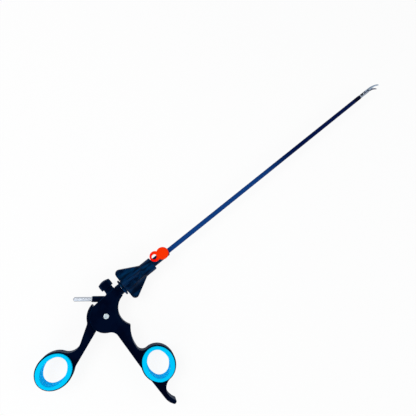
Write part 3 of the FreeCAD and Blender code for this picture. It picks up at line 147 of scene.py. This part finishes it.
class Finish(Nodes):
    """A procedural material for pieces of one kind."""

    def __init__(self, name, **constants):
        self.material = bpy.data.materials.new(name)
        self.material.use_nodes = True
        super().__init__(self.material.node_tree)
        self.shader = self.tree.nodes["Principled BSDF"]
        self.set(**constants)
        self.place = self.out("TexCoord", "Object")

    def set(self, **sockets):
        for label, value in sockets.items():
            self.feed(self.shader.inputs[label.replace("_", " ")], value)

    def stretched(self, x, y, z):
        """The place on the piece, scaled, so that a pattern runs long in one direction."""
        return self.out("Mapping", "Vector", {}, {"Vector": self.place, "Scale": (x, y, z)})

    def axis(self, letter, place=None):
        return self.out("SeparateXYZ", letter, {}, {"Vector": place or self.place})

    def facing_up(self):
        """1 on faces that look along the piece's Z axis either way, 0 on its side walls."""
        facing = self.out("TexCoord", "Normal")
        return self.axis("Z", facing).math("ABSOLUTE")

    def cloud(self, per_metre, detail=4.0, rough=0.5, place=None):
        sockets = {"Vector": place or self.place, "Scale": per_metre,
                   "Detail": detail, "Roughness": rough}
        return self.out("TexNoise", "Fac", {}, sockets)

    def cells(self, per_metre):
        sockets = {"Vector": self.place, "Scale": per_metre}
        return self.out("TexVoronoi", "Distance", {"feature": "SMOOTH_F1"}, sockets)

    def between(self, value, low, high):
        """0 below low, 1 above high, smooth between."""
        sockets = {"Value": value, "From Min": low, "From Max": high}
        return self.out("MapRange", "Result", {"interpolation_type": "SMOOTHSTEP"}, sockets)

    def blend(self, share, first, second):
        node = self.node("Mix", {"data_type": "RGBA"}, {"Factor": share})
        colours = [socket for socket in node.inputs if socket.type == "RGBA"]
        self.feed(colours[0], colour(first))
        self.feed(colours[1], colour(second))
        return Wire(self, [socket for socket in node.outputs if socket.type == "RGBA"][0])

    def relief(self, height, depth, strength, under=None):
        """A bump whose height of 1 stands for a depth in metres."""
        sockets = {"Height": height, "Distance": depth, "Strength": strength}
        if under:
            sockets["Normal"] = under
        return self.out("Bump", "Normal", {}, sockets)


def colour(value):
    return value if isinstance(value, Wire) else (*value, 1.0)


def lighter(tone, by):
    return tuple(min(1.0, part * by) for part in tone)


# finishes

def moulded_finish():
    """Glass-filled plastic, nearly black, with a painted bluer sheen on its side walls, and bluer
    where hands polish it.
    """
    finish = Finish("navy_black_moulding", Specular_IOR_Level=0.018,
                    Specular_Tint=(0.1, 0.5, 1.0, 1.0))
    patches = finish.cloud(55, 5.0, 0.55)
    spark = finish.cloud(5200, 2.0, 0.6)
    fibres = finish.cloud(900, 3.0, 0.6, finish.stretched(0.25, 1.0, 1.0))
    handled = finish.between(patches, 0.42, 0.62)
    faces = finish.blend(handled, (0.0002, 0.0009, 0.0075), (0.0004, 0.0026, 0.0145))
    # painted sheen: where the normal turns away from Z the colour goes to the bluer (0.001,
    # 0.012, 0.045), standing in for light the side walls catch
    level = finish.between(finish.facing_up(), 0.45, 0.97)
    grain = finish.relief(spark, skin_depth, 0.5)
    finish.set(Base_Color=finish.blend(level, (0.001, 0.012, 0.045), faces),
               Roughness=0.36 - handled * 0.08 + spark * 0.08 + fibres * 0.05,
               Normal=finish.relief(parting_line(finish), parting_ridge, 0.6, grain))
    return finish.material


def parting_line(finish):
    """The thin ridge that the mould leaves round the middle of a piece."""
    height = finish.axis("Z").math("ABSOLUTE")
    return 1.0 - finish.between(height, 0.00003, 0.00012)


def knob_finish():
    """The same plastic with a painted teal sheen in streaks, stronger on the collar than on the
    wings.
    """
    finish = Finish("teal_black_moulding", Specular_IOR_Level=0.07,
                    Specular_Tint=(0.05, 0.55, 1.0, 1.0))
    spark = finish.cloud(5200, 2.0, 0.6)
    streaks = finish.cloud(330, 3.0, 0.5, finish.stretched(0.25, 1.0, 1.0))
    aside, up = finish.axis("Y"), finish.axis("Z")
    collar = 1.0 - finish.between(aside * aside + up * up, 0.00008, 0.0004)
    # painted sheen: teal streaks stand in for highlights, mostly on the collar
    painted_sheen_and_mottle = finish.between(streaks, 0.35, 0.62) * (collar * 0.92 + 0.08)
    finish.set(Base_Color=finish.blend(painted_sheen_and_mottle, (0.0002, 0.0012, 0.012), (0.0006, 0.022, 0.08)),
               Roughness=0.34 - painted_sheen_and_mottle * 0.06 + spark * 0.09,
               Normal=finish.relief(spark, skin_depth, 0.5))
    return finish.material


def liner_finish():
    """Soft sky blue liner with a fine leathery skin, a touch smoother on the lips, where a
    painted sheen also makes it a touch lighter.
    """
    finish = Finish("sky_blue_liner", Specular_IOR_Level=0.008,
                    Specular_Tint=(0.1, 0.7, 1.0, 1.0))
    patches = finish.cloud(120, 4.0, 0.5)
    skin = finish.cells(2600)
    lip = finish.between(finish.axis("Z").math("ABSOLUTE"), 0.0045, 0.0068)
    # painted sheen on the lips, mixed with random mottle, makes the blue a touch lighter there
    painted_sheen_and_mottle = lip * 0.75 + finish.between(patches, 0.45, 0.65) * 0.25
    finish.set(Base_Color=finish.blend(painted_sheen_and_mottle, (0.0, 0.57, 1.0), (0.0, 0.6, 1.0)),
               Roughness=0.5 + skin * 0.12 - painted_sheen_and_mottle * 0.08,
               Normal=finish.relief(skin, skin_depth, 0.35))
    return finish.material


def cap_finish():
    """Soft cap, orange red on the disc, with painted shade making the pull ring redder, and faint
    flow marks.
    """
    finish = Finish("orange_red_cap", Specular_IOR_Level=0.03,
                    Specular_Tint=(1.0, 0.3, 0.1, 1.0))
    flow = finish.cloud(260, 5.0, 0.6, finish.stretched(1.0, 0.4, 1.0))
    skin = finish.cloud(6000, 2.0, 0.5)
    forward = finish.between(finish.axis("X"), -0.0155, -0.0115)
    # painted shade: the pull ring is a redder, darker copy of the disc's colour
    ring = finish.blend(flow, (0.95, 0.004, 0.001), (1.0, 0.008, 0.002))
    disc = finish.blend(flow, (0.98, 0.028, 0.001), (1.0, 0.042, 0.002))
    finish.set(Base_Color=finish.blend(forward, ring, disc),
               Roughness=0.46 + skin * 0.12,
               Normal=finish.relief(skin, skin_depth, 0.4))
    return finish.material


def sleeve_finish():
    """Shrunk insulation: blue by the hub as a painted highlight, deep navy ahead, nearly black at
    its front end.
    """
    finish = Finish("navy_insulation", Specular_IOR_Level=0.03,
                    Specular_Tint=(0.05, 0.35, 1.0, 1.0))
    draw_marks = finish.cloud(900, 4.0, 0.6, finish.stretched(0.012, 1.0, 1.0))
    patches = finish.cloud(40, 4.0, 0.5)
    flecks = finish.cloud(700, 6.0, 0.7, finish.stretched(1.0, 0.2, 0.2))
    scuffs = finish.between(flecks, 0.62, 0.7)
    front = finish.blend(patches, (0.0002, 0.003, 0.046), (0.0004, 0.008, 0.072))
    # painted highlight: the lighter blue by the hub stands in for the light the sleeve catches
    # there
    rear_painted_highlight = finish.blend(patches, (0.003, 0.035, 0.17), (0.008, 0.062, 0.27))
    length = finish.blend(finish.between(finish.axis("X"), 0.12, 0.19), rear_painted_highlight, front)
    rim = finish.between(finish.axis("X"), 0.2935, 0.297)
    finish.set(Base_Color=finish.blend(rim, length, (0.0003, 0.0012, 0.016)),
               Roughness=0.26 + draw_marks * 0.1 + scuffs * 0.15,
               Normal=finish.relief(draw_marks, draw_mark_depth, 0.4))
    return finish.material


def turned_steel(name, tone=(0.6, 0.61, 0.63), rough=0.24, along="X", per_metre=9000):
    """Stainless steel with the fine rings a lathe leaves across an axis."""
    finish = Finish(name, Metallic=1.0)
    scale = (1.0 if letter == along else 0.02 for letter in "XYZ")
    rings = finish.cloud(per_metre, 3.0, 0.7, finish.stretched(*scale))
    patches = finish.cloud(300, 5.0, 0.6)
    finish.set(Base_Color=finish.blend(patches, tone, lighter(tone, 1.18)),
               Roughness=rough - 0.05 + rings * 0.12 + patches * 0.05,
               Normal=finish.relief(rings, lathe_ring_depth, 0.5))
    return finish.material


def brushed_steel(name, tone, rough=0.3):
    """Satin steel, brushed along the tool, with small handling scratches."""
    finish = Finish(name, Metallic=1.0)
    brush = finish.cloud(7000, 4.0, 0.6, finish.stretched(0.06, 1.0, 1.0))
    nicks = finish.cloud(3500, 2.0, 0.4, finish.stretched(1.0, 0.12, 1.0))
    scratches = finish.between(nicks, 0.66, 0.7)
    patches = finish.cloud(450, 4.0, 0.6)
    finish.set(Base_Color=finish.blend(patches, tone, lighter(tone, 1.25)),
               Roughness=rough + brush * 0.12 + scratches * 0.12,
               Normal=finish.relief(brush, brush_depth, 0.6))
    return finish.material


def spring_bronze():
    """Rolled bronze of the contact strip."""
    finish = Finish("spring_bronze", Metallic=1.0)
    brush = finish.cloud(5000, 4.0, 0.6, finish.stretched(0.1, 1.0, 1.0))
    finish.set(Base_Color=finish.blend(brush, (0.62, 0.4, 0.16), (0.78, 0.56, 0.26)),
               Roughness=0.25 + brush * 0.15,
               Normal=finish.relief(brush, brush_depth, 0.5))
    return finish.material


def plain_polymer(name, tone, rough, light=1.15):
    """Unpainted plastic or rubber of a small inner piece."""
    finish = Finish(name, Specular_IOR_Level=0.35)
    mottle = finish.cloud(1800, 4.0, 0.6)
    finish.set(Base_Color=finish.blend(mottle, tone, lighter(tone, light)),
               Roughness=rough + mottle * 0.1,
               Normal=finish.relief(mottle, draw_mark_depth, 0.4))
    return finish.material


def dress():
    """Give every carried-over node its finish."""
    finishes = {
        moulded_finish(): ("handle_body", "thumb_lever", "release_button"),
        knob_finish(): ("rotation_knob", "knob_flange", "port_hub"),
        liner_finish(): ("finger_ring_liner", "thumb_ring_liner"),
        cap_finish(): ("flush_cap",),
        sleeve_finish(): ("shaft_insulation",),
        turned_steel("polished_steel", (0.46, 0.54, 0.58), 0.2, "Z", 4000): (
            "pivot_screw", "pivot_nut"),
        turned_steel("pin_steel", (0.38, 0.41, 0.46), 0.2, "X", 5000): ("hf_pin",),
        turned_steel("turned_steel"): (
            "coupling_sleeve", "neck_bush", "outer_tube", "drive_rod", "rod_ball", "ball_seat"),
        turned_steel("turned_steel_upright", along="Z"): (
            "lever_bush", "luer_port", "latch_plate", "button_spring"),
        brushed_steel("tool_steel", (0.22, 0.26, 0.32)): ("tool_fork",),
        # painted shade: the links inside the fork's slot get nearly black steel
        brushed_steel("link_steel_painted_shade", (0.03, 0.033, 0.045), 0.34): (
            "rod_yoke", "upper_link", "lower_link"),
        brushed_steel("jaw_steel", (0.19, 0.24, 0.31), 0.26): ("upper_jaw",),
        # painted shade: the lower jaw gets a darker copy of the jaw steel
        brushed_steel("jaw_steel_painted_shade", (0.06, 0.07, 0.12)): ("lower_jaw",),
        turned_steel("pin_ends", (0.05, 0.055, 0.07)): (
            "jaw_pivot_pin", "yoke_pin", "upper_knee_pin", "lower_knee_pin"),
        spring_bronze(): ("contact_strip",),
        plain_polymer("natural_washer", (0.62, 0.6, 0.54), 0.4): ("slide_washers",),
        plain_polymer("black_seal", (0.02, 0.02, 0.022), 0.45, 1.6): ("rod_seal",),
    }
    for material, names in finishes.items():
        for name in names:
            slots = nodes[name].data.materials
            slots.clear()
            slots.append(material)


# the button's spring

def coil_spring(turns=5, wire=0.0003, steps_in_turn=36, sides=10):
    """The spring under the button's cap, parented to the button's body."""
    low, high = (Vector(corner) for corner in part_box("button_spring"))
    middle = (low + high) / 2
    mean = (high.x - low.x) / 2 - wire
    rise = high.y - low.y - 2 * wire
    upright = Vector((0, 1, 0))
    steps = steps_in_turn * turns
    points = []
    for step in range(steps + 1):
        share = step / steps
        turn = 2 * math.pi * turns * share
        outward = Vector((math.cos(turn), 0, -math.sin(turn)))
        centre = Vector((middle.x, low.y + wire + rise * share, middle.z)) + outward * mean
        for side in range(sides):
            angle = 2 * math.pi * side / sides
            rim = math.cos(angle) * outward + math.sin(angle) * upright
            points.append(centre + wire * rim)
    first_end = tuple(range(sides))
    last_end = tuple(steps * sides + side for side in reversed(range(sides)))
    faces = [first_end, last_end]
    for step in range(steps):
        for side in range(sides):
            a, b = step * sides + side, step * sides + (side + 1) % sides
            faces.append((a, a + sides, b + sides, b))
    mesh = bpy.data.meshes.new("coil_spring")
    mesh.from_pydata(points, [], faces)
    mesh.polygons.foreach_set("use_smooth", [True] * len(faces))
    mesh.materials.append(nodes["button_spring"].data.materials[0])
    spring = bpy.data.objects.new("coil_spring", mesh)
    bpy.context.scene.collection.objects.link(spring)
    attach(spring, "release_button")
    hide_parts("button_spring")
    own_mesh(spring)


# studio

def rolled_axes():
    """The camera's own axes: tipped towards the jaws and rolled as the photograph is."""
    forward = Vector((math.sin(camera_tip), 0, -math.cos(camera_tip)))
    level = Vector((math.cos(camera_tip), 0, math.sin(camera_tip)))
    aside = Vector((0, 1, 0))
    right = math.cos(camera_roll) * level - math.sin(camera_roll) * aside
    upward = math.sin(camera_roll) * level + math.cos(camera_roll) * aside
    return right, upward, forward


def set_camera():
    right, upward, forward = rolled_axes()
    camera = bpy.data.objects.new("photo_camera", bpy.data.cameras.new("photo_camera"))
    bpy.context.scene.collection.objects.link(camera)
    turn = Matrix((right, upward, -forward)).transposed().to_4x4()
    camera.matrix_world = Matrix.Translation(camera_place) @ turn
    camera.data.sensor_width = 36
    camera.data.lens = camera_lens
    camera.data.clip_start = 0.01
    bpy.context.scene.camera = camera


def soft_lamp(name, place, aim, size, power, tone=(1, 1, 1)):
    lamp = bpy.data.lights.new(name, "AREA")
    lamp.shape = "RECTANGLE"
    lamp.size, lamp.size_y = size
    lamp.energy = power
    lamp.color = tone
    thing = bpy.data.objects.new(name, lamp)
    bpy.context.scene.collection.objects.link(thing)
    turn = (Vector(aim) - Vector(place)).to_track_quat("-Z", "Y").to_matrix().to_4x4()
    thing.matrix_world = Matrix.Translation(place) @ turn
    thing.visible_camera = False


def lay_floor():
    """A white sheet under the instrument that keeps a soft shadow."""
    mesh = bpy.data.meshes.new("white_sheet")
    low = min(solid_box[0][2], solid_box[1][2]) - ground_gap
    corners = [(x * ground_reach, y * ground_reach, low)
               for x, y in ((-1, -1), (1, -1), (1, 1), (-1, 1))]
    mesh.from_pydata(corners, [], [(0, 1, 2, 3)])
    sheet = bpy.data.objects.new("white_sheet", mesh)
    bpy.context.scene.collection.objects.link(sheet)
    finish = Finish("white_sheet", Specular_IOR_Level=0.1, Roughness=0.9)
    fleck = finish.cloud(300, 3.0, 0.5)
    finish.set(Base_Color=finish.blend(fleck, (0.93, 0.93, 0.93), (0.95, 0.95, 0.95)))
    glow = finish.node("Emission", {}, {"Strength": 1.0})
    bounce = finish.node("MixShader", {}, {"Fac": finish.seen_directly() * even_white})
    surface = finish.tree.nodes["Material Output"].inputs[0]
    for output, socket in ((finish.shader.outputs[0], bounce.inputs[1]),
                           (glow.outputs[0], bounce.inputs[2]),
                           (bounce.outputs[0], surface)):
        finish.feed(socket, Wire(finish, output))
    mesh.materials.append(finish.material)


def light_studio():
    """A white sky, dim for the light that falls on the part, and three soft lamps."""
    scene = bpy.context.scene
    scene.view_settings.view_transform = "Standard"
    world = bpy.data.worlds.new("studio")
    world.use_nodes = True
    scene.world = world
    backdrop = Nodes(world.node_tree)
    light = world.node_tree.nodes["Background"]
    light.inputs["Color"].default_value = (1, 1, 1, 1)
    backdrop.feed(light.inputs["Strength"],
                  backdrop.seen_directly() * (1 - dim_sky) + dim_sky)
    soft_lamp("key_lamp", (-0.25, 0.35, 0.75), (-0.02, -0.01, 0), (0.5, 0.35), 3.2)
    soft_lamp("fill_lamp", (0.45, -0.45, 0.6), (0.05, -0.02, 0), (0.6, 0.5), 1.6,
              (0.93, 0.97, 1.0))
    soft_lamp("rim_lamp", (-0.55, -0.2, 0.3), (-0.08, -0.03, 0), (0.3, 0.3), 0.8,
              (0.9, 0.96, 1.0))


dress()
coil_spring()
lay_floor()
light_studio()
set_camera()
